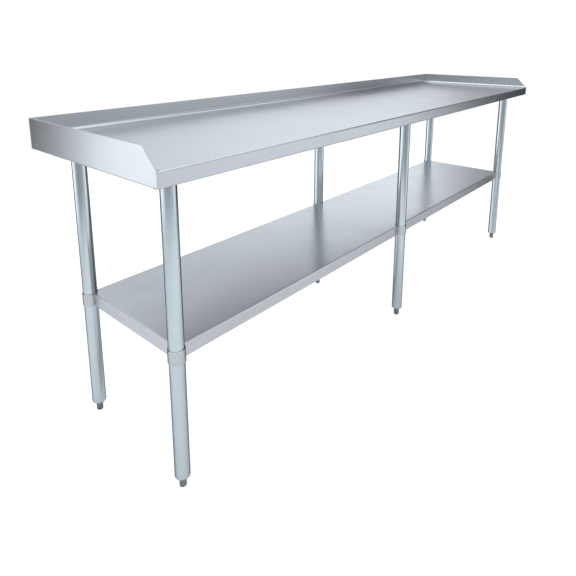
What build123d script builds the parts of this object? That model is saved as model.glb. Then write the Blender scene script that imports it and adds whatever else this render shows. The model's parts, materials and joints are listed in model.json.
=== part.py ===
from build123d import *
import os
from math import sqrt

# Stainless work table with a splash along the back and both ends, six tube legs on screw-in
# feet, and an undershelf that clamps to the legs at any height.
# Millimetres. X runs along the table, -Y is the front, +Z is up, and the floor is Z = 0.
# The origin is on the floor, under the middle of the table.

# Overall sizes
table_length = 2438.4
table_depth = 609.6
worktop_height = 889.0
splash_height = 50.8
apron_depth = 38.1

# Stainless sheet of the worktop, its splashes and the shelf
sheet = 1.2
bend_radius = 2.5
hem_radius = 1.0
cove_radius = 12.0
seam_gap = 0.4
return_width = 15.0

# Legs, and the tube plugs that hold the feet
leg_diameter = 41.28
leg_wall = 1.5
leg_inset = 90.0
plug_flange = 3.5
plug_length = 42.0
plug_fit = 0.1

# Feet
foot_height = 31.5
foot_flats = 19.0
foot_point_diameter = 21.4
foot_sole_diameter = 16.0
stem_diameter = 9.5
stem_fit = 0.25
foot_travel = 25.0
stem_grip = 20.0
foot_seat_gap = 0.3

# Sleeves that slide over a leg: the sockets under the worktop and the shelf's collars
sleeve_wall = 2.0
sleeve_fit = 0.35
sleeve_edge = 0.6
boss_diameter = 14.0
boss_height = 5.0
set_screw_diameter = 8.0
set_screw_key = 4.0
set_screw_key_depth = 4.0
screw_fit = 0.05
socket_plate = 2.5
socket_plate_reach = 20.0
socket_plate_corner = 8.0
socket_plate_margin = 4.0

# Hat channels that stiffen the worktop and the shelf
channel_sheet = 1.2
channel_height = 15.0
channel_flange = 22.0
crown_side_room = 9.0
long_channel_crown = 46.0
channel_end_gap = 6.0
sleeve_hole_gap = 0.5

# Damping tape between a channel and the sheet above it
tape_thickness = 1.0
tape_margin = 1.5

# Studs welded under the sheet, with a flange nut on each
stud_diameter = 6.0
stud_hole_fit = 0.3
stud_end = 2.0
stud_edge = 60.0
stud_spacing = 330.0
nut_flats = 10.0
nut_height = 6.0
nut_flange_diameter = 14.0
nut_flange = 1.5

# Undershelf
shelf_height = 405.0
shelf_lip = 38.1
shelf_return = 12.0

# Worked out from the sizes above
half_length = table_length / 2
half_depth = table_depth / 2
splash_thickness = 2 * sheet + seam_gap
splash_top = worktop_height + splash_height
apron_bottom = worktop_height - apron_depth
worktop_underside = worktop_height - sheet
leg_radius = leg_diameter / 2
leg_inner_radius = leg_radius - leg_wall
leg_x = half_length - leg_inset
leg_y = half_depth - leg_inset
leg_bottom = foot_height + foot_seat_gap + plug_flange
stem_length = foot_travel + stem_grip
leg_top = worktop_underside - tape_thickness
sleeve_inner_radius = leg_radius + sleeve_fit
sleeve_radius = sleeve_inner_radius + sleeve_wall
cross_channel_crown = 2 * (sleeve_radius + crown_side_room)
socket_plate_width = cross_channel_crown - 2 * socket_plate_margin
socket_plate_length = 2 * (sleeve_radius + socket_plate_reach)
crown_drop = tape_thickness + channel_height
shelf_underside = shelf_height - sheet

leg_places = {
    "front_left": (-leg_x, -leg_y),
    "front_middle": (0, -leg_y),
    "front_right": (leg_x, -leg_y),
    "rear_left": (-leg_x, leg_y),
    "rear_middle": (0, leg_y),
    "rear_right": (leg_x, leg_y),
}


def box(low, high):
    """A box between two opposite corners."""
    size = [b - a for a, b in zip(low, high)]
    centre = [(a + b) / 2 for a, b in zip(low, high)]
    return Pos(*centre) * Box(*size)


def rod(x, y, low, high, radius):
    """An upright cylinder."""
    return Pos(x, y, low) * extrude(Circle(radius), high - low)


def hexagon(x, y, low, high, flats):
    """An upright hexagonal bar, measured across its flats."""
    return Pos(x, y, low) * extrude(RegularPolygon(flats / 2, 6, major_radius=False), high - low)


def along_x(section, start, end):
    """A section drawn as (Y, Z) and run from one X to another."""
    plane = Plane(origin=(start, 0, 0), x_dir=(0, 1, 0), z_dir=(1, 0, 0))
    return extrude(plane * section, end - start)


def along_y(section, start, end):
    """A section drawn as (X, Z) and run from one Y to another."""
    plane = Plane(origin=(0, start, 0), x_dir=(1, 0, 0), z_dir=(0, -1, 0))
    return extrude(plane * section, start - end)


def outline(*points):
    """A filled polygon."""
    return make_face(Polyline(*points, close=True))


def bent_sheet(points, thickness, radius):
    """A bent sheet's section, from the middle line of its flats."""
    return trace(FilletPolyline(*points, radius=radius + thickness / 2), thickness)


def edges_along(solid, axis, place):
    """The straight edges along an axis that pass a test of their middle point."""
    return [edge for edge in solid.edges().filter_by(axis) if place(edge.center())]


def near(value, target):
    return abs(value - target) < 0.01


def level_edges(solid, height):
    """The edges that lie flat at a height."""
    return [edge for edge in solid.edges().filter_by(Plane.XY) if near(edge.center().Z, height)]


# Worktop: one sheet with a deck, a bent-down front edge, and coved upturns on three sides.
# The upturns stop one sheet short of the splash's outline, under the hem of the outer skin.

def worktop_sheet():
    inner_end = half_length - splash_thickness
    inner_back = half_depth - splash_thickness
    hem_underside = splash_top - sheet
    bend_room = sheet + 2 * bend_radius
    deck_front = -half_depth + bend_room

    outside = box((-inner_end - sheet, deck_front, worktop_underside),
                  (inner_end + sheet, inner_back + sheet, hem_underside))
    low_edges = (edges_along(outside, Axis.X, lambda c: c.Z < worktop_height and c.Y > 0)
                 + edges_along(outside, Axis.Y, lambda c: c.Z < worktop_height))
    outside = fillet(low_edges, cove_radius + sheet)
    inside = box((-inner_end, deck_front - splash_height, worktop_height),
                 (inner_end, inner_back, splash_top + splash_height))
    low_edges = (edges_along(inside, Axis.X, lambda c: near(c.Z, worktop_height) and c.Y > 0)
                 + edges_along(inside, Axis.Y, lambda c: near(c.Z, worktop_height)))
    inside = fillet(low_edges, cove_radius)
    tray = outside - inside

    # The end upturns slope down to the front at 45 degrees, just under the skin's hem.
    slope_start = -half_depth + sheet * sqrt(2)
    above_slope = outline((deck_front - splash_height, worktop_height),
                          (slope_start, worktop_height),
                          (slope_start + 2 * splash_height, worktop_height + 2 * splash_height),
                          (deck_front - splash_height, worktop_height + 2 * splash_height))
    tray -= along_x(above_slope, -half_length, -inner_end + cove_radius)
    tray -= along_x(above_slope, inner_end - cove_radius, half_length)

    # The front edge turns down, then back under the table.
    front_edge = bent_sheet([(deck_front, worktop_height - sheet / 2),
                             (-half_depth + sheet / 2, worktop_height - sheet / 2),
                             (-half_depth + sheet / 2, apron_bottom + sheet / 2),
                             (-half_depth + return_width, apron_bottom + sheet / 2)],
                            sheet, bend_radius)
    apron = along_x(front_edge, -half_length, half_length)
    # Its ends make room for the hems of the end skins.
    bend_bottom = worktop_height - sheet - bend_radius
    for start, end in ((-half_length, -inner_end), (inner_end, half_length)):
        apron -= box((start, -half_depth + sheet, bend_bottom), (end, deck_front, worktop_height))
    return tray + apron


# Splash skins: the outer sheets of the back and the ends. Each reaches from the bottom of the
# apron to the top of the splash, is hemmed over the upturn, and turns in at the bottom.

def end_skin(worktop):
    inner_end = half_length - splash_thickness
    face = outline((-half_depth + sheet, apron_bottom), (-half_depth + sheet, worktop_height + sheet),
                   (-half_depth + splash_height, splash_top), (half_depth, splash_top),
                   (half_depth, apron_bottom))
    slope_offset = sheet * sqrt(2)
    hem = outline((-half_depth + sheet, worktop_height + sheet),
                  (-half_depth + splash_height, splash_top), (half_depth, splash_top),
                  (half_depth, splash_top - sheet),
                  (-half_depth + splash_height + slope_offset - sheet, splash_top - sheet),
                  (-half_depth + sheet, worktop_height + sheet - slope_offset))
    skin = along_x(face, half_length - sheet, half_length)
    skin += along_x(hem, inner_end, half_length)
    skin += box((half_length - return_width, -half_depth + return_width, apron_bottom),
                (half_length, half_depth - return_width, apron_bottom + sheet))
    low_edge = edges_along(skin, Axis.Y, lambda c: near(c.Z, apron_bottom)
                           and near(c.X, half_length))
    skin = fillet(low_edge, bend_radius + sheet)
    inner_low_edge = edges_along(skin, Axis.Y, lambda c: near(c.Z, apron_bottom + sheet)
                                 and near(c.X, half_length - sheet))
    skin = fillet(inner_low_edge, bend_radius)
    top_edges = [edge for edge in skin.edges().filter_by(GeomType.LINE)
                 if near(edge.center().X, half_length)
                 and edge.center().Z > worktop_height + splash_height / 4
                 and abs(edge.tangent_at(0.5).Z) < 0.9]
    skin = fillet(top_edges, hem_radius)
    return skin - worktop


def back_skin(left_skin, right_skin):
    section = bent_sheet([(half_depth - sheet / 2, splash_top - sheet),
                          (half_depth - sheet / 2, apron_bottom + sheet / 2),
                          (half_depth - return_width, apron_bottom + sheet / 2)],
                         sheet, bend_radius)
    skin = along_x(section, -half_length + sheet, half_length - sheet)
    hem = box((-half_length + splash_thickness, half_depth - splash_thickness, splash_top - sheet),
              (half_length - splash_thickness, half_depth, splash_top))
    hem = fillet(edges_along(hem, Axis.X, lambda c: near(c.Z, splash_top) and near(c.Y, half_depth)),
                 hem_radius)
    return skin + hem - left_skin - right_skin


# Hat channels: a crown that hangs down, and a flange each side that carries the tape.

def hat_section(crown, top):
    half_crown = crown / 2 - channel_sheet / 2
    high = top - channel_sheet / 2
    low = top - channel_height + channel_sheet / 2
    half_width = crown / 2 + channel_flange
    return bent_sheet([(-half_width, high), (-half_crown, high), (-half_crown, low),
                       (half_crown, low), (half_crown, high), (half_width, high)],
                      channel_sheet, bend_radius)


def spread(start, end, spacing):
    """Evenly spaced places from start to end, no further apart than the spacing."""
    steps = max(1, round((end - start) / spacing))
    return [start + (end - start) * step / steps for step in range(steps + 1)]


def flange_offsets(crown):
    return [side * (crown + channel_flange) / 2 for side in (-1, 1)]


def cross_channel_ends():
    return (-half_depth + sheet + channel_end_gap, half_depth - sheet - channel_end_gap)


def cross_stud_places(x):
    """Stud places on one cross channel: two beside each leg, and the middle ones between."""
    low, high = cross_channel_ends()
    return [(x + offset, y) for offset in flange_offsets(cross_channel_crown)
            for y in spread(low + stud_edge, high - stud_edge, stud_spacing)]


def long_channel_ends(side):
    """The X range of the long channel on one side of the middle cross channel."""
    reach = cross_channel_crown / 2 + channel_flange + channel_end_gap
    near_end, far_end = reach, leg_x - reach
    return (near_end, far_end) if side > 0 else (-far_end, -near_end)


def long_stud_places(side):
    low, high = long_channel_ends(side)
    return [(x, offset) for offset in flange_offsets(long_channel_crown)
            for x in spread(low + stud_edge, high - stud_edge, stud_spacing)]


def stud_holes(places, low, high):
    return [rod(x, y, low, high, stud_diameter / 2 + stud_hole_fit) for x, y in places]


def cross_channel(x):
    top = worktop_underside - tape_thickness
    channel = Pos(x, 0, 0) * along_y(hat_section(cross_channel_crown, top), *cross_channel_ends())
    for y in (-leg_y, leg_y):
        channel -= rod(x, y, top - 2 * channel_height, top, sleeve_radius + sleeve_hole_gap)
    for hole in stud_holes(cross_stud_places(x), top - channel_height, top + channel_height):
        channel -= hole
    return channel


def long_channel(side):
    top = worktop_underside - tape_thickness
    channel = along_x(hat_section(long_channel_crown, top), *long_channel_ends(side))
    for hole in stud_holes(long_stud_places(side), top - channel_height, top + channel_height):
        channel -= hole
    return channel


def tape_strips(crown, low_end, high_end, top, holes, lengthwise, x=0):
    """The two strips on one channel's flanges."""
    strips = []
    half_strip = channel_flange / 2 - tape_margin
    for offset in flange_offsets(crown):
        if lengthwise:
            strip = box((low_end, offset - half_strip, top - tape_thickness),
                        (high_end, offset + half_strip, top))
        else:
            strip = box((x + offset - half_strip, low_end, top - tape_thickness),
                        (x + offset + half_strip, high_end, top))
        for hole in holes:
            strip -= hole
        strips.append(strip)
    return strips


def worktop_tape():
    strips = []
    low, high = worktop_underside - 2 * tape_thickness, worktop_height
    for x in (-leg_x, 0, leg_x):
        holes = stud_holes(cross_stud_places(x), low, high)
        strips += tape_strips(cross_channel_crown, *cross_channel_ends(), worktop_underside,
                              holes, False, x)
    for side in (-1, 1):
        holes = stud_holes(long_stud_places(side), low, high)
        strips += tape_strips(long_channel_crown, *long_channel_ends(side), worktop_underside,
                              holes, True)
    return strips


def worktop_stud_places():
    places = [place for x in (-leg_x, 0, leg_x) for place in cross_stud_places(x)]
    return places + [place for side in (-1, 1) for place in long_stud_places(side)]


def studs(places, top):
    reach = tape_thickness + channel_sheet + nut_height + stud_end
    return [rod(x, y, top - reach, top, stud_diameter / 2) for x, y in places]


def nuts(places, top):
    seat = top - tape_thickness - channel_sheet
    made = []
    for x, y in places:
        nut = hexagon(x, y, seat - nut_height, seat - nut_flange, nut_flats)
        nut += rod(x, y, seat - nut_flange, seat, nut_flange_diameter / 2)
        made.append(nut - rod(x, y, seat - nut_height, seat, stud_diameter / 2 + screw_fit))
    return made


# Sleeves round a leg, each with a threaded boss that points in towards the table's middle.

def inward(x, y):
    """The direction of a sleeve's screw: towards the middle of the table, off a sheet's edge."""
    sign_x = (x < 0) - (x > 0)
    sign_y = (y < 0) - (y > 0)
    return Vector(sign_x, sign_y, 0).normalized()


def across(x, y, z, start, end, radius):
    """A level cylinder along a sleeve's screw, measured out from the leg's axis."""
    direction = inward(x, y)
    plane = Plane(origin=Vector(x, y, z) + direction * start, z_dir=direction)
    return extrude(plane * Circle(radius), end - start)


def sleeve(x, y, low, high, screw_z):
    body = rod(x, y, low, high, sleeve_radius)
    body = chamfer(body.edges().filter_by(GeomType.CIRCLE), sleeve_edge)
    body += across(x, y, screw_z, leg_radius, sleeve_radius + boss_height, boss_diameter / 2)
    body -= rod(x, y, low - boss_diameter, high + boss_diameter, sleeve_inner_radius)
    return body - across(x, y, screw_z, leg_radius, sleeve_radius + 2 * boss_height,
                         set_screw_diameter / 2 + screw_fit)


def set_screw(x, y, screw_z):
    direction = inward(x, y)
    outer_end = sleeve_radius + boss_height
    screw = across(x, y, screw_z, leg_radius, outer_end, set_screw_diameter / 2)
    socket = Plane(origin=Vector(x, y, screw_z) + direction * (outer_end - set_screw_key_depth),
                   z_dir=direction)
    key = RegularPolygon(set_screw_key / 2, 6, major_radius=False)
    return screw - extrude(socket * key, set_screw_key_depth)


def socket_screw_height():
    plate_bottom = worktop_underside - crown_drop - socket_plate
    return (plate_bottom + apron_bottom) / 2


def leg_socket(x, y):
    """A sleeve that takes the leg's top, welded through a plate to the cross channel."""
    plate_top = worktop_underside - crown_drop
    body = sleeve(x, y, apron_bottom, leg_top, socket_screw_height())
    plate = RectangleRounded(socket_plate_width, socket_plate_length, socket_plate_corner)
    body += Pos(x, y, plate_top - socket_plate) * extrude(plate, socket_plate)
    return body - rod(x, y, apron_bottom, leg_top, sleeve_inner_radius)


def leg(x, y):
    tube = rod(x, y, leg_bottom, leg_top, leg_radius)
    return tube - rod(x, y, leg_bottom, leg_top, leg_inner_radius)


def foot_plug(x, y):
    """A plug in the leg's end, with a flange as wide as the leg and a bore for the stem."""
    flange = rod(x, y, leg_bottom - plug_flange, leg_bottom, leg_radius)
    flange = chamfer(flange.edges().filter_by(GeomType.CIRCLE).sort_by(Axis.Z)[0], plug_flange / 3)
    plug = flange + rod(x, y, leg_bottom, leg_bottom + plug_length, leg_inner_radius - plug_fit)
    return plug - rod(x, y, leg_bottom - plug_flange, leg_bottom + plug_length,
                      stem_diameter / 2 + stem_fit)


def foot(x, y):
    """A hexagonal foot with rounded points and a coned sole, on a stem that screws into the plug."""
    body = hexagon(x, y, 0, foot_height, foot_flats) & rod(x, y, 0, foot_height,
                                                           foot_point_diameter / 2)
    cone_height = (foot_point_diameter - foot_sole_diameter) / 2
    body &= Pos(x, y, foot_height / 2) * (
        Pos(0, 0, -foot_height / 2 + cone_height / 2)
        * Cone(foot_sole_diameter / 2, foot_point_diameter / 2, cone_height)
        + Pos(0, 0, cone_height / 2)
        * Cylinder(foot_point_diameter / 2, foot_height - cone_height))
    return body + rod(x, y, foot_height, foot_height + stem_length, stem_diameter / 2)


# Undershelf: a pan whose edges lie on the legs' centre lines, notched round the collars.

def shelf_pan():
    low = shelf_height - shelf_lip
    outside = box((-leg_x, -leg_y, low), (leg_x, leg_y, shelf_height))
    outside = fillet(level_edges(outside, shelf_height), bend_radius + sheet)
    inside = box((-leg_x + sheet, -leg_y + sheet, low + sheet),
                 (leg_x - sheet, leg_y - sheet, shelf_underside))
    inside = fillet(level_edges(inside, shelf_underside), bend_radius)
    mouth = box((-leg_x + shelf_return, -leg_y + shelf_return, low),
                (leg_x - shelf_return, leg_y - shelf_return, low + 2 * sheet))
    pan = outside - inside - mouth
    for x, y in leg_places.values():
        pan -= rod(x, y, low, shelf_height, sleeve_radius)
    return pan


def shelf_channel_ends():
    reach = leg_x - sheet - channel_end_gap
    return (-reach, reach)


def shelf_stud_places():
    low, high = shelf_channel_ends()
    return [(x, offset) for offset in flange_offsets(long_channel_crown)
            for x in spread(low + stud_edge, high - stud_edge, stud_spacing)]


def shelf_channel():
    top = shelf_underside - tape_thickness
    channel = along_x(hat_section(long_channel_crown, top), *shelf_channel_ends())
    for hole in stud_holes(shelf_stud_places(), top - channel_height, top + channel_height):
        channel -= hole
    return channel


def shelf_tape():
    holes = stud_holes(shelf_stud_places(), shelf_underside - 2 * tape_thickness, shelf_height)
    return tape_strips(long_channel_crown, *shelf_channel_ends(), shelf_underside, holes, True)


def collar_screw_height():
    return shelf_height - shelf_lip / 2


def collar(x, y):
    return sleeve(x, y, shelf_height - shelf_lip, shelf_height, collar_screw_height())


# Every node by name. A list of solids makes one node of separate identical pieces.

nodes = {}
nodes["worktop"] = worktop_sheet()
nodes["right_side_splash"] = end_skin(nodes["worktop"])
nodes["left_side_splash"] = mirror(nodes["right_side_splash"], Plane.YZ)
nodes["back_splash"] = back_skin(nodes["left_side_splash"], nodes["right_side_splash"])

for name, x in (("left", -leg_x), ("middle", 0), ("right", leg_x)):
    nodes[f"cross_channel_{name}"] = cross_channel(x)
for name, side in (("left", -1), ("right", 1)):
    nodes[f"long_channel_{name}"] = long_channel(side)
nodes["worktop_damping_tape"] = worktop_tape()
nodes["worktop_studs"] = studs(worktop_stud_places(), worktop_underside)
nodes["worktop_stud_nuts"] = nuts(worktop_stud_places(), worktop_underside)

for name, (x, y) in leg_places.items():
    nodes[f"leg_{name}"] = leg(x, y)
    nodes[f"leg_socket_{name}"] = leg_socket(x, y)
    nodes[f"foot_plug_{name}"] = foot_plug(x, y)
    nodes[f"foot_{name}"] = foot(x, y)
    nodes[f"shelf_collar_{name}"] = collar(x, y)
nodes["socket_set_screws"] = [set_screw(x, y, socket_screw_height())
                              for x, y in leg_places.values()]

nodes["undershelf"] = shelf_pan()
nodes["shelf_channel"] = shelf_channel()
nodes["shelf_damping_tape"] = shelf_tape()
nodes["shelf_studs"] = studs(shelf_stud_places(), shelf_underside)
nodes["shelf_stud_nuts"] = nuts(shelf_stud_places(), shelf_underside)
nodes["collar_set_screws"] = [set_screw(x, y, collar_screw_height())
                              for x, y in leg_places.values()]

os.makedirs("parts", exist_ok=True)
for name, shape in nodes.items():
    solids = shape if isinstance(shape, list) else shape.solids()
    piece = solids[0] if len(solids) == 1 else Compound(children=list(solids))
    export_step(piece, f"parts/{name}.step")
print(len(nodes), "nodes")
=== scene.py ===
import json
import math
import bpy
import bmesh
from mathutils import Matrix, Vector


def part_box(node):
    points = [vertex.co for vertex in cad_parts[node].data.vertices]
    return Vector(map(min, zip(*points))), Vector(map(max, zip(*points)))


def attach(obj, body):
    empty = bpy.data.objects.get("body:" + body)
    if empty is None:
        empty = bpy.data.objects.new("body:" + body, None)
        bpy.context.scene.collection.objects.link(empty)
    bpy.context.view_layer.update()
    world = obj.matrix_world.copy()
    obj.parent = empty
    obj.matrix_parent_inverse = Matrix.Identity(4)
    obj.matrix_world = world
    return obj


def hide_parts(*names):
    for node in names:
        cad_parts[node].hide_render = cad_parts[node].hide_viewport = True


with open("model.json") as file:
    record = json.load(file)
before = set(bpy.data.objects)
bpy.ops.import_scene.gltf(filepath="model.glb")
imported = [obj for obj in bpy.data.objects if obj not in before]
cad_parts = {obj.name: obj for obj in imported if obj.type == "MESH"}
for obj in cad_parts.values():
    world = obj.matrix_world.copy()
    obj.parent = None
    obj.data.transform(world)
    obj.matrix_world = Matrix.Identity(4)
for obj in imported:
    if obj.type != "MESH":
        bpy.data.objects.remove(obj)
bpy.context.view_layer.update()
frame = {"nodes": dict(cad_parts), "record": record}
nodes = frame["nodes"]
print("frame loaded:", len(nodes), "nodes")


def toLinear(hexColour):
    parts = [int(hexColour[i:i + 2], 16) / 255 for i in (1, 3, 5)]
    return [p / 12.92 if p <= 0.04045 else ((p + 0.055) / 1.055) ** 2.4 for p in parts] + [1.0]


def addNode(tree, kind, values=None, links=None, stops=None, **settings):
    # one node with its settings, its own values, what is linked into it and a ramp's stops.
    # A "#hex" colour is turned to linear, and a linked node gives its first output in use.
    node = tree.nodes.new("ShaderNode" + kind)
    for name, value in settings.items():
        setattr(node, name, value)
    for name, value in (values or {}).items():
        node.inputs[name].default_value = toLinear(value) if isinstance(value, str) else value
    for name, source in (links or {}).items():
        if isinstance(source, bpy.types.Node):
            source = next(socket for socket in source.outputs if socket.enabled)
        tree.links.new(source, node.inputs[name])
    if stops:
        elements = node.color_ramp.elements
        elements.remove(elements[-1])
        for number, (place, colour) in enumerate(stops):
            element = elements.new(place) if number else elements[0]
            element.position = place
            element.color = toLinear(colour) if isinstance(colour, str) else [colour] * 3 + [1.0]
    return node


def newMaterial(name):
    material = bpy.data.materials.new(name)
    material.use_nodes = True
    material.node_tree.nodes.clear()
    return material, material.node_tree


cameraPlan = {
    "place": (-1.7912, -1.1635, 1.1562),    # metres
    "turn": 48.80,                          # degrees to the right of straight at the front
    "tilt": 11.77,                          # degrees down
    "lens": 31.46875,                       # millimetres, on a 36 mm sensor
    "shift": -0.25,                         # of the frame's width
}


def makeCamera(plan):
    camera = bpy.data.cameras.new("camera")
    camera.sensor_width = 36
    camera.lens = plan["lens"]
    camera.shift_y = plan["shift"]
    camera.clip_start = 0.05
    camera.clip_end = 200
    holder = bpy.data.objects.new("camera", camera)
    holder.location = plan["place"]
    holder.rotation_euler = (math.radians(90 - plan["tilt"]), 0, -math.radians(plan["turn"]))
    bpy.context.scene.collection.objects.link(holder)
    bpy.context.scene.camera = holder


makeCamera(cameraPlan)
print("camera placed")

# The room is a stack of rings of soft panels round the table, with black cloth between some of
# them, under a bright ceiling. A ring is a list of (direction, brightness), with the direction in
# degrees from +X over +Y. A step is where one ring turns into the next: two sines of the height
# angle.
roomPlan = {
    "groundRing": [(-180, 0.90), (-52, 0.90), (-40, 0.72), (-32, 0.50), (-25, 0.40), (-19, 0.46),
                   (10, 0.40), (70, 0.40), (100, 0.50), (118, 0.85), (180, 0.90)],
    "lowRing": [(-180, 0.70), (-165, 0.42), (-115, 0.40), (-95, 0.55), (-75, 0.58), (-66, 0.80),
                (-58, 1.05), (-45, 1.14), (-29, 1.12), (-26, 0.95), (-21, 0.30), (-17.5, 0.02),
                (-5, 0.05), (10, 0.28), (30, 0.42), (75, 0.42), (95, 0.22), (108, 0.05),
                (113.5, 0.14), (117.5, 1.62), (125, 1.80), (165, 1.20), (173, 0.90), (180, 0.70)],
    "highRing": [(-180, 0.90), (-75, 0.40), (-66, 0.48), (-57, 0.76), (-45, 0.84), (-38, 0.68),
                 (-33, 0.10), (-24, 0.02), (-10, 0.08), (10, 0.35), (18, 0.48), (21, 0.60),
                 (24, 0.92), (32, 0.92), (60, 0.86), (90, 0.90), (110, 0.70), (140, 0.70),
                 (153, 0.40), (158, 0.85), (180, 0.90)],
    "middleRing": [(-180, 0.80), (-60, 0.98), (-38, 0.90), (-20, 0.40), (10, 0.22), (18, 0.35),
                   (21, 0.60), (26, 1.40), (45, 1.28), (60, 1.00), (100, 0.60), (180, 0.70)],
    "upperRing": [(-180, 0.60), (-60, 0.50), (-20, 0.20), (10, 0.18), (25, 0.50), (45, 0.52),
                  (65, 0.50), (100, 0.50), (180, 0.60)],
    "ceiling": [(-180, 1.95), (-42, 1.95), (-34, 0.35), (-22, 0.30), (-15, 1.95), (180, 1.95)],
    "zenith": [(-180, 1.20), (180, 1.20)],
    "groundToLow": (-0.36, -0.29),
    "lowToHigh": (-0.09, 0.03),
    "highToMiddle": (0.15, 0.25),
    "middleToUpper": (0.30, 0.50),
    "upperToCeiling": (0.52, 0.70),
    "ceilingToZenith": (0.80, 0.95),
    "brightest": 2.0,                       # what a full ramp stands for
    "tint": (0.95, 1.0, 1.062),             # cool white lamps
    "backdrop": 1.0,                        # what the camera itself sees behind the table
}


def buildRoom(plan):
    world = bpy.data.worlds.new("studio")
    world.use_nodes = True
    bpy.context.scene.world = world
    tree = world.node_tree
    tree.nodes.clear()
    way = addNode(tree, "TexCoord").outputs["Generated"]
    split = addNode(tree, "SeparateXYZ", links={"Vector": way})
    turn = addNode(tree, "Math", operation="ARCTAN2",
                   links={0: split.outputs["Y"], 1: split.outputs["X"]})
    place = addNode(tree, "MapRange", {"From Min": -math.pi, "From Max": math.pi}, {"Value": turn})
    rings = []
    for name in ("groundRing", "lowRing", "highRing", "middleRing", "upperRing", "ceiling", "zenith"):
        stops = [((angle + 180) / 360, level / plan["brightest"]) for angle, level in plan[name]]
        rings.append(addNode(tree, "ValToRGB", links={"Fac": place}, stops=stops))
    mirrored = rings[0]
    steps = ("groundToLow", "lowToHigh", "highToMiddle", "middleToUpper", "upperToCeiling",
             "ceilingToZenith")
    for name, ring in zip(steps, rings[1:]):
        low, high = plan[name]
        step = addNode(tree, "MapRange", {"From Min": low, "From Max": high},
                       {"Value": split.outputs["Z"]}, interpolation_type="SMOOTHSTEP")
        mirrored = addNode(tree, "Mix", links={"Factor": step, "A": mirrored, "B": ring},
                           data_type="RGBA")
    cool = addNode(tree, "VectorMath", {1: plan["tint"]}, {0: mirrored}, operation="MULTIPLY")
    lit = addNode(tree, "Background", {"Strength": plan["brightest"]}, {"Color": cool})
    seen = addNode(tree, "Background", {"Color": "#ffffff", "Strength": plan["backdrop"]})
    ray = addNode(tree, "LightPath")
    both = addNode(tree, "MixShader", links={0: ray.outputs["Is Camera Ray"], 1: lit, 2: seen})
    addNode(tree, "OutputWorld", links={"Surface": both})


floorPlan = {
    "colour": "#f4f3f1", "shadeColour": "#101010",
    "radius": 3.6,                          # metres
    "middle": (-0.9, -0.6, 0),              # where the steel mirrors it at its brightest
    "fade": (0.75, 2.1),                    # from the middle: where it thins out into the dark room
    "shadeBox": (1.05, 0.04),               # half length and half width of the painted shade under the table
    "shadeEdge": 0.15,                      # how softly the shade ends
    "shadeDepth": 0.35,
    "glow": 0.93,                           # light added for the camera, so it sees near white
    "shade": 0.2,                           # share of the floor's own shading left for the camera
}


def buildFloor(plan):
    # matt painted board: pale and even, with a faint shade under the table; for the steel's reflections a
    # deeper shade is painted into its colour there
    bpy.ops.object.select_all(action="DESELECT")
    bpy.ops.mesh.primitive_circle_add(vertices=96, radius=plan["radius"], fill_type="NGON",
                                      location=(0, 0, 0))
    floor = bpy.context.object
    floor.name = "studioFloor"
    material, tree = newMaterial("paintedStudioFloor")
    place = addNode(tree, "TexCoord").outputs["Object"]
    sides = addNode(tree, "VectorMath", operation="ABSOLUTE", links={0: place})
    sides = addNode(tree, "SeparateXYZ", links={"Vector": sides})
    shades = []
    # painted shade: a soft dark box under the table, mixed into the colour that the steel mirrors; the
    # camera sees the plain colour
    for letter, half in zip("XY", plan["shadeBox"]):
        ends = {"From Min": half, "From Max": half + plan["shadeEdge"], "To Min": 1.0, "To Max": 0.0}
        shades.append(addNode(tree, "MapRange", ends, {"Value": sides.outputs[letter]},
                              interpolation_type="SMOOTHSTEP"))
    under = addNode(tree, "Math", operation="MULTIPLY", links={0: shades[0], 1: shades[1]})
    under = addNode(tree, "Math", {1: plan["shadeDepth"]}, {0: under}, operation="MULTIPLY")
    colourWithPaintedShade = addNode(tree, "Mix", {"A": plan["colour"], "B": plan["shadeColour"]}, {"Factor": under},
                   data_type="RGBA")
    matt = addNode(tree, "BsdfDiffuse", links={"Color": colourWithPaintedShade})
    away = addNode(tree, "VectorMath", {1: plan["middle"]}, {0: place}, operation="DISTANCE")
    low, high = plan["fade"]
    thin = addNode(tree, "MapRange", {"From Min": low, "From Max": high}, {"Value": away},
                   interpolation_type="SMOOTHSTEP")
    clear = addNode(tree, "BsdfTransparent")
    faded = addNode(tree, "MixShader", links={0: thin, 1: matt, 2: clear})
    glow = addNode(tree, "Emission", {"Strength": plan["glow"] / (1 - plan["shade"])})
    plain = addNode(tree, "BsdfDiffuse", {"Color": plan["colour"]})
    pale = addNode(tree, "MixShader", {0: plan["shade"]}, {1: glow, 2: plain})
    ray = addNode(tree, "LightPath")
    both = addNode(tree, "MixShader", links={0: ray.outputs["Is Camera Ray"], 1: faded, 2: pale})
    addNode(tree, "OutputMaterial", links={"Surface": both})
    floor.data.materials.append(material)


buildRoom(roomPlan)
buildFloor(floorPlan)
print("studio built")

noiseSpan = {"From Min": 0.3, "From Max": 0.7}    # the range that a noise value mostly keeps to
wholeSpan = {**noiseSpan, "To Min": 0.0, "To Max": 1.0}
sheetPlan = {
    "colour": "#cbcdcf", "dark": "#c1c3c5", "roughness": (0.20, 0.25), "streak": 0.015,
    "lineWidth": 0.0011,                    # metres across a line, coarsened from 0.1 mm
    "lineLength": 0.18,                     # metres along a line
    "smudge": 0.21, "wave": 0.60,           # metres across a smudge, and from buckle to buckle
    "spread": 0.72,                         # how far the lines draw a reflection out
    "buckle": {"Strength": 0.02, "Distance": 0.008},      # the sheet is never quite flat
    "scratch": {"Strength": 0.05, "Distance": 0.0002},    # the relief of the lines
    "endsFrom": 0.7,                        # a face whose normal has more X than this is an end
}


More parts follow.
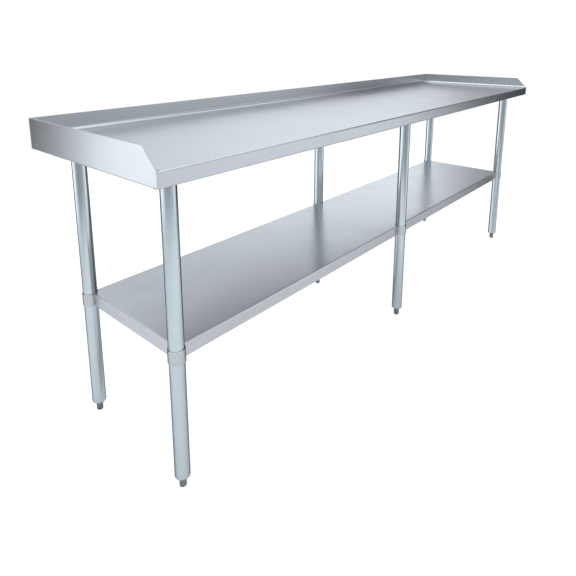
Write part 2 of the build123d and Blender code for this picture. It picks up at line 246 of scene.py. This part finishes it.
def brushedSheet(name, endGrain, plan):
    # 304 stainless sheet with a number 4 finish: fine lines along X, which spread every
    # reflection across them. endGrain is the way the lines run on faces that look along X.
    material, tree = newMaterial(name)
    place = addNode(tree, "TexCoord").outputs["Object"]
    normal = addNode(tree, "NewGeometry").outputs["Normal"]
    facing = addNode(tree, "SeparateXYZ", links={"Vector": normal})
    end = addNode(tree, "Math", operation="ABSOLUTE", links={0: facing.outputs["X"]})
    end = addNode(tree, "Math", {1: plan["endsFrom"]}, {0: end}, operation="GREATER_THAN")
    long, fine = 1 / plan["lineLength"], 1 / plan["lineWidth"]
    endScale = [long if letter == endGrain else fine for letter in "XYZ"]
    endWay = [1.0 if letter == endGrain else 0.0 for letter in "XYZ"]
    scale = addNode(tree, "Mix", {"A": (long, fine, fine), "B": endScale}, {"Factor": end},
                    data_type="VECTOR")
    grain = addNode(tree, "Mix", {"A": (1, 0, 0), "B": endWay}, {"Factor": end}, data_type="VECTOR")
    stretched = addNode(tree, "VectorMath", operation="MULTIPLY", links={0: place, 1: scale})
    lines = addNode(tree, "TexNoise", {"Scale": 1.0, "Detail": 3.0, "Roughness": 0.65},
                    {"Vector": stretched})
    smudge = addNode(tree, "TexNoise", {"Scale": 1 / plan["smudge"], "Detail": 5.0, "Roughness": 0.6},
                     {"Vector": place})
    wave = addNode(tree, "TexNoise", {"Scale": 1 / plan["wave"], "Detail": 0.0}, {"Vector": place})
    shade = addNode(tree, "MapRange", wholeSpan, {"Value": lines})
    colour = addNode(tree, "Mix", {"A": plan["dark"], "B": plan["colour"]}, {"Factor": shade},
                     data_type="RGBA")
    low, high = plan["roughness"]
    rough = addNode(tree, "MapRange", {**noiseSpan, "To Min": low, "To Max": high}, {"Value": smudge})
    streak = addNode(tree, "MapRange", {**noiseSpan, "To Min": -plan["streak"],
                                        "To Max": plan["streak"]}, {"Value": lines})
    rough = addNode(tree, "Math", operation="ADD", links={0: rough, 1: streak})
    across = addNode(tree, "VectorMath", operation="CROSS_PRODUCT", links={0: normal, 1: grain})
    buckle = addNode(tree, "Bump", plan["buckle"], {"Height": wave})
    scratch = addNode(tree, "Bump", plan["scratch"], {"Height": lines, "Normal": buckle})
    shader = addNode(tree, "BsdfPrincipled", {"Metallic": 1.0, "Anisotropic": plan["spread"]},
                     {"Base Color": colour, "Roughness": rough, "Normal": scratch, "Tangent": across})
    addNode(tree, "OutputMaterial", links={"Surface": shader})
    return material


# the legs are polished to a clear shine, and the collars are left satin, with softer stripes
legPlan = {"colour": "#ccd4d8", "dark": "#c1c9cd", "roughness": (0.12, 0.17)}
collarPlan = {"colour": "#c9ccce", "dark": "#bcc1c3", "roughness": (0.24, 0.34)}
tubePlan = {
    "rings": (12, 12, 900),                 # per metre: rings 1.1 mm apart, coarsened from 0.1 mm
    "smudge": 9.0,                          # per metre: smudges 110 mm across
    "scratch": {"Strength": 0.04, "Distance": 0.0002},
    "spread": 0.5, "rimShade": "#5f676c",        # painted shade: a dark edge tint that darkens the tube towards its outline
}


def tubeStainless(name, plan):
    # stainless tube, polished round and round: crisp upright stripes, drawn out up and down, with a
    # painted shade darkening it towards its outline
    material, tree = newMaterial(name)
    place = addNode(tree, "TexCoord").outputs["Object"]
    rings = addNode(tree, "Mapping", {"Scale": plan["rings"]}, {"Vector": place})
    lines = addNode(tree, "TexNoise", {"Scale": 1.0, "Detail": 2.0}, {"Vector": rings})
    smudge = addNode(tree, "TexNoise", {"Scale": plan["smudge"], "Detail": 4.0}, {"Vector": place})
    shade = addNode(tree, "MapRange", wholeSpan, {"Value": lines})
    colour = addNode(tree, "Mix", {"A": plan["dark"], "B": plan["colour"]}, {"Factor": shade},
                     data_type="RGBA")
    low, high = plan["roughness"]
    rough = addNode(tree, "MapRange", {**noiseSpan, "To Min": low, "To Max": high}, {"Value": smudge})
    bump = addNode(tree, "Bump", plan["scratch"], {"Height": lines})
    upright = addNode(tree, "CombineXYZ", {"Z": 1.0})
    # the dark Specular Tint paints shade into the reflection near the outline
    shader = addNode(tree, "BsdfPrincipled", {"Metallic": 1.0, "Anisotropic": plan["spread"],
                                              "Specular Tint": plan["rimShade"]},
                     {"Base Color": colour, "Roughness": rough, "Normal": bump, "Tangent": upright})
    addNode(tree, "OutputMaterial", links={"Surface": shader})
    return material


zincPlan = {
    "colour": "#bfc4c8", "dark": "#9aa0a5", "roughness": (0.38, 0.58),
    "spangle": 0.009,                       # metres across a crystal
    "relief": {"Strength": 0.15, "Distance": 0.0003},
}


def galvanisedSteel(plan):
    # hot-dip galvanised steel: dull blue-grey zinc with a pattern of crystal spangles
    material, tree = newMaterial("galvanisedSteel")
    place = addNode(tree, "TexCoord").outputs["Object"]
    spangle = addNode(tree, "TexVoronoi", {"Scale": 1 / plan["spangle"], "Randomness": 1.0},
                      {"Vector": place})
    grey = addNode(tree, "ValToRGB", links={"Fac": spangle.outputs["Color"]},
                   stops=[(0.2, plan["dark"]), (0.8, plan["colour"])])
    low, high = plan["roughness"]
    rough = addNode(tree, "MapRange", {"To Min": low, "To Max": high},
                    {"Value": spangle.outputs["Color"]})
    bump = addNode(tree, "Bump", plan["relief"], {"Height": spangle.outputs["Distance"]})
    shader = addNode(tree, "BsdfPrincipled", {"Metallic": 1.0},
                     {"Base Color": grey, "Roughness": rough, "Normal": bump})
    addNode(tree, "OutputMaterial", links={"Surface": shader})
    return material


# a grain is in metres, about twice as coarse as the real one so that it shows
grainPlan = {
    "stain": 60.0,                          # per metre: stains 17 mm across
    "uneven": 0.06,                         # how far the roughness strays either way
    "relief": 0.2,
}


def grainedSurface(name, plan):
    # a dull moulded, cast, plated or ground surface, with a fine pebbled grain and faint stains
    material, tree = newMaterial(name)
    place = addNode(tree, "TexCoord").outputs["Object"]
    pebble = addNode(tree, "TexNoise", {"Scale": 1 / plan["grain"], "Detail": 3.0}, {"Vector": place})
    stain = addNode(tree, "TexNoise", {"Scale": grainPlan["stain"], "Detail": 4.0}, {"Vector": place})
    shade = addNode(tree, "MapRange", wholeSpan, {"Value": stain})
    colour = addNode(tree, "Mix", {"A": plan["dark"], "B": plan["colour"]}, {"Factor": shade},
                     data_type="RGBA")
    low, high = [plan["roughness"] + way * grainPlan["uneven"] for way in (-1, 1)]
    rough = addNode(tree, "MapRange", {**noiseSpan, "To Min": low, "To Max": high}, {"Value": pebble})
    bump = addNode(tree, "Bump", {"Strength": grainPlan["relief"], "Distance": plan["grain"] / 4},
                   {"Height": pebble})
    shader = addNode(tree, "BsdfPrincipled", {"Metallic": plan["metallic"]},
                     {"Base Color": colour, "Roughness": rough, "Normal": bump})
    addNode(tree, "OutputMaterial", links={"Surface": shader})
    return material


# nylon straight from the mould: matt mid grey, with no shine to speak of
plugPlan = {"colour": "#a4acb0", "dark": "#959da2", "roughness": 0.50, "metallic": 0.0,
            "grain": 0.0006}
# zinc left as it was cast: dark and dull, with a rough skin that breaks up its reflections
castPlan = {"colour": "#8b8f91", "dark": "#74787a", "roughness": 0.40, "metallic": 0.8,
            "grain": 0.0012}
# closed-cell foam: near black and quite without shine
tapePlan = {"colour": "#2b2b2c", "dark": "#1c1c1d", "roughness": 0.85, "metallic": 0.0,
            "grain": 0.0015}
# bright zinc plate on turned parts: pale, with a slightly blurred shine
fastenerPlan = {"colour": "#c3c6c5", "dark": "#aeb2b2", "roughness": 0.34, "metallic": 1.0,
                "grain": 0.0012}
finishes = {
    "brushed_stainless": brushedSheet("brushedStainless304", "Z", sheetPlan),
    "stainless_tube": tubeStainless("polishedStainlessTube", {**tubePlan, **legPlan}),
    "satin_collar": tubeStainless("satinStainlessCollar", {**tubePlan, **collarPlan}),
    "galvanised_steel": galvanisedSteel(zincPlan),
    "plug_plastic": grainedSurface("mouldedNylonPlug", plugPlan),
    "foot_casting": grainedSurface("castZincFoot", castPlan),
    "damping_tape": grainedSurface("foamDampingTape", tapePlan),
    "zinc_fastener": grainedSurface("zincPlatedFastener", fastenerPlan),
}
endSheet = brushedSheet("brushedStainless304Ends", "Y", sheetPlan)
slotOfNode = {row["node"]: row["material_slot"] for row in frame["record"]["subparts"]}
for name, piece in nodes.items():
    for place in piece.material_slots:
        place.material = endSheet if name.endswith("side_splash") else finishes[slotOfNode[name]]
print("materials given to", len(nodes), "nodes")

places = [name[len("leg_"):] for name in nodes if name.startswith("leg_") and "socket" not in name]
hair = 1e-5                                 # metres: two heights this close count as the same
upward = 0.9                                # the least Z in the normal of a face that looks up


def middleOf(node):
    low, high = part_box(node)
    return [(low[i] + high[i]) / 2 for i in (0, 1)]


def pick(piece, kind, test):
    # selects the faces or edges that pass the test, in edit mode
    bpy.ops.mesh.select_mode(type="FACE" if kind == "faces" else "EDGE")
    bpy.ops.mesh.select_all(action="DESELECT")
    mesh = bmesh.from_edit_mesh(piece.data)
    mesh.normal_update()
    for part in getattr(mesh, kind):
        if test(part):
            part.select_set(True)
    bmesh.update_edit_mesh(piece.data)


def startEdit(name):
    piece = bpy.context.object
    piece.name = name
    bpy.ops.object.transform_apply(location=True, rotation=True, scale=True)
    bpy.ops.object.mode_set(mode="EDIT")
    return piece


def growFace(piece, up, rise, widen):
    # extrudes the end face that looks up (1) or down (-1), and widens or narrows it
    faces = bmesh.from_edit_mesh(piece.data).faces
    end = max(face.calc_center_median().z * up for face in faces) - hair / 10
    pick(piece, "faces", lambda face: face.normal.z * up > upward
         and face.calc_center_median().z * up >= end)
    bpy.ops.mesh.extrude_region_move(TRANSFORM_OT_translate={"value": (0, 0, rise * up)})
    bpy.ops.transform.resize(value=(widen, widen, 1))


def setDown(model, name, offset, body, material):
    # a copy of a modelled piece with its own mesh, put in its place and tied to its body
    piece = model.copy()
    piece.data = model.data.copy()
    piece.name = piece.data.name = name
    piece.data.transform(Matrix.Translation(offset))
    piece.data.materials.clear()
    piece.data.materials.append(material)
    bpy.context.scene.collection.objects.link(piece)
    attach(piece, body)
    return piece


# all the sizes of the pieces are in metres
footPlan = {
    "flats": 0.0190, "height": 0.0315, "corner": 0.0010, "topEdge": 0.0005,
    "cone": 0.0027, "coneStep": 0.7,        # the cone comes in two steps, the first this share of it
    "sole": 0.0160, "soleRim": 0.0016, "soleDip": 0.0004,
    "stem": 0.0095, "stemTop": 0.0765, "stemEdge": 0.0008,
    "sunk": 0.001,                          # how far the stem goes into the hexagon
    "pitch": 0.0015, "threadDepth": 0.0007, "threadFrom": 0.0325, "threadFree": 0.0015,
    "smooth": 32,                           # degrees: an edge sharper than this shows as an edge
}


def modelFoot(plan):
    bpy.ops.object.select_all(action="DESELECT")
    length = plan["height"] - plan["cone"]
    bpy.ops.mesh.primitive_cylinder_add(vertices=6, radius=plan["flats"] / 2 / math.cos(math.radians(30)),
                                        depth=length, location=(0, 0, plan["cone"] + length / 2),
                                        rotation=(0, 0, math.radians(30)))
    foot = startEdit("hexagon")
    pick(foot, "edges", lambda edge: abs((edge.verts[0].co - edge.verts[1].co).z) > length / 2)
    bpy.ops.mesh.bevel(offset=plan["corner"], segments=3, affect="EDGES")
    narrow = plan["sole"] / plan["flats"]
    halfway = 1 - (1 - narrow) * plan["coneStep"]
    growFace(foot, -1, plan["cone"] * plan["coneStep"], halfway)
    growFace(foot, -1, plan["cone"] * (1 - plan["coneStep"]), narrow / halfway)
    bpy.ops.mesh.inset(thickness=plan["soleRim"])
    bpy.ops.transform.translate(value=(0, 0, plan["soleDip"]))
    pick(foot, "edges", lambda edge: min(v.co.z for v in edge.verts) > plan["height"] - hair)
    bpy.ops.mesh.bevel(offset=plan["topEdge"], segments=2, affect="EDGES")
    bpy.ops.object.mode_set(mode="OBJECT")
    bpy.ops.object.select_all(action="DESELECT")
    root = plan["stem"] / 2 - plan["threadDepth"]
    low = plan["height"] - plan["sunk"]
    bpy.ops.mesh.primitive_cylinder_add(vertices=24, radius=root, depth=plan["stemTop"] - low,
                                        location=(0, 0, (plan["stemTop"] + low) / 2))
    stem = startEdit("stem")
    pick(stem, "edges", lambda edge: min(v.co.z for v in edge.verts) > plan["stemTop"] - hair)
    bpy.ops.mesh.bevel(offset=plan["stemEdge"], segments=2, affect="EDGES")
    bpy.ops.object.mode_set(mode="OBJECT")
    bpy.ops.object.select_all(action="DESELECT")
    # the thread is a ridge that climbs round the stem, sunk half into it
    bpy.ops.mesh.primitive_circle_add(vertices=4, radius=plan["threadDepth"], fill_type="NOTHING",
                                      location=(root, 0, plan["threadFrom"]),
                                      rotation=(math.radians(90), 0, 0))
    thread = startEdit("thread")
    bpy.ops.object.mode_set(mode="OBJECT")
    climb = thread.modifiers.new("climb", "SCREW")
    climb.axis = "Z"
    climb.screw_offset = plan["pitch"]
    climb.iterations = int((plan["stemTop"] - plan["threadFree"] - plan["threadFrom"]) / plan["pitch"])
    climb.steps = climb.render_steps = 16
    bpy.ops.object.modifier_apply(modifier="climb")
    bpy.ops.object.mode_set(mode="EDIT")
    bpy.ops.mesh.select_all(action="SELECT")
    bpy.ops.mesh.remove_doubles(threshold=0.000001)
    bpy.ops.mesh.fill_holes(sides=4)
    bpy.ops.mesh.select_all(action="SELECT")
    bpy.ops.mesh.normals_make_consistent(inside=False)
    bpy.ops.object.mode_set(mode="OBJECT")
    for part in (foot, stem, thread):
        part.select_set(True)
    bpy.context.view_layer.objects.active = foot
    bpy.ops.object.join()
    bpy.ops.object.shade_smooth_by_angle(angle=math.radians(plan["smooth"]))
    return foot


footModel = modelFoot(footPlan)
for place in places:
    x, y = middleOf("foot_" + place)
    foot = setDown(footModel, "levellingFoot_" + place, (x, y, 0), "adjuster_" + place,
                   finishes["foot_casting"])
    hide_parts("foot_" + place)
bpy.data.objects.remove(footModel)
print("feet modelled:", len(places))

beadPlan = {
    "radius": 0.0017, "ripple": 0.0016,     # a small TIG bead, its ripples 1.6 mm apart
    "startWidth": 0.7, "firstSwell": 1.4, "swell": 1.16, "endWidth": 0.6,    # shares of the width
    "crest": 0.35,                          # where in a ripple the bead is widest
    "collarRadius": 0.0230, "stand": 0.0007,
    "margin": 0.0012, "crown": 0.0025,      # what is left free at the ends, and more at the top
    "smooth": 60,
}


def modelBead(plan, low, high):
    # a bead in an inside corner, laid down drop by drop
    bpy.ops.object.select_all(action="DESELECT")
    ripple = plan["ripple"]
    bpy.ops.mesh.primitive_cylinder_add(vertices=10, radius=plan["radius"] * plan["startWidth"],
                                        depth=ripple / 2, location=(0, 0, low + ripple / 2))
    bead = startEdit("bead")
    growFace(bead, -1, ripple / 4, plan["endWidth"])
    for drop in range(int((high - low) / ripple) - 1):
        growFace(bead, 1, ripple * plan["crest"], plan["swell"] if drop else plan["firstSwell"])
        growFace(bead, 1, ripple * (1 - plan["crest"]), 1 / plan["swell"])
    growFace(bead, 1, ripple / 3, plan["endWidth"])
    bpy.ops.object.mode_set(mode="OBJECT")
    bpy.ops.object.shade_smooth_by_angle(angle=math.radians(plan["smooth"]))
    return bead


# a TIG bead as it cooled, only brushed: rippled, with a faint straw and brown bloom
weldPlan = {"colour": "#c2c4c6", "dark": "#a3a19e", "roughness": 0.30, "metallic": 1.0,
            "grain": 0.0008}
weldSteel = grainedSurface("tigWeldStainless", weldPlan)
collarLow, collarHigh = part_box("shelf_collar_front_left")
beadModel = modelBead(beadPlan, collarLow[2] + beadPlan["margin"],
                      collarHigh[2] - beadPlan["margin"] - beadPlan["crown"])
stand, reach = beadPlan["stand"], beadPlan["collarRadius"] + beadPlan["stand"]
beadCount = 0
for place in places:
    x, y = middleOf("leg_" + place)
    outX, outY = math.copysign(1, x), math.copysign(1, y)
    if "middle" in place:
        spots = [(x - reach, y + outY * stand), (x + reach, y + outY * stand)]
    else:
        spots = [(x - outX * reach, y + outY * stand), (x + outX * stand, y - outY * reach)]
    for spot in spots:
        beadCount += 1
        setDown(beadModel, "collarWeld_" + str(beadCount), (*spot, 0), "undershelf_assembly",
                weldSteel)
bpy.data.objects.remove(beadModel)
print("collar welds laid:", beadCount)

seamPlan = {
    "radius": 0.0013, "proud": 0.00015, "step": 0.004,
    "waver": 0.03, "waverTurn": 2.3,        # share of the width, and radians from step to step
    "splash": 0.0508,                       # height of the splashes above the deck
    "footGap": 0.0006, "topGap": 0.0012,    # what is left free at the ends
    "smooth": 50,
}


def modelSeam(plan, low, high):
    # a corner seam, welded and ground almost flush: a slim round edge that wavers a little
    bpy.ops.object.select_all(action="DESELECT")
    bpy.ops.mesh.primitive_cylinder_add(vertices=16, radius=plan["radius"], depth=plan["step"],
                                        location=(0, 0, low + plan["step"] / 2))
    seam = startEdit("seam")
    steps = int((high - low) / plan["step"]) - 1
    rise = (high - low - plan["step"]) / steps
    width = 1.0
    for number in range(steps):
        wanted = 1.0 + plan["waver"] * math.sin(number * plan["waverTurn"])
        growFace(seam, 1, rise, wanted / width)
        width = wanted
    pick(seam, "edges", lambda edge: abs(edge.verts[0].co.z - edge.verts[1].co.z) < hair / 10
         and (edge.verts[0].co.z < low + hair or edge.verts[0].co.z > high - hair))
    bpy.ops.mesh.bevel(offset=plan["radius"] / 2, segments=3, affect="EDGES")
    bpy.ops.object.mode_set(mode="OBJECT")
    bpy.ops.object.shade_smooth_by_angle(angle=math.radians(plan["smooth"]))
    return seam


# a weld ground back with a flap disc: a pale satin line that nearly vanishes in the sheet
groundPlan = {"colour": "#cdd1d6", "dark": "#c0c4c9", "roughness": 0.24, "metallic": 1.0,
              "grain": 0.0012}
groundSteel = grainedSurface("groundWeldStainless", groundPlan)
splashLow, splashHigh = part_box("left_side_splash")
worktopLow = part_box("worktop")[0]
inset = seamPlan["radius"] - seamPlan["proud"]
low = splashLow[2] + seamPlan["footGap"]
high = splashHigh[2] - seamPlan["topGap"]
seamCount = 0
for row, y, top in (("front", worktopLow[1] + inset, high - seamPlan["splash"]),
                    ("rear", splashHigh[1] - inset, high)):
    seamModel = modelSeam(seamPlan, low, top)
    for end, x in (("left", worktopLow[0] + inset), ("right", -worktopLow[0] - inset)):
        seamCount += 1
        setDown(seamModel, "cornerSeam_" + row + "_" + end, (x, y, 0), "table_frame",
                groundSteel)
    bpy.data.objects.remove(seamModel)
print("corner seams ground:", seamCount)

bpy.context.scene.view_settings.view_transform = "Standard"
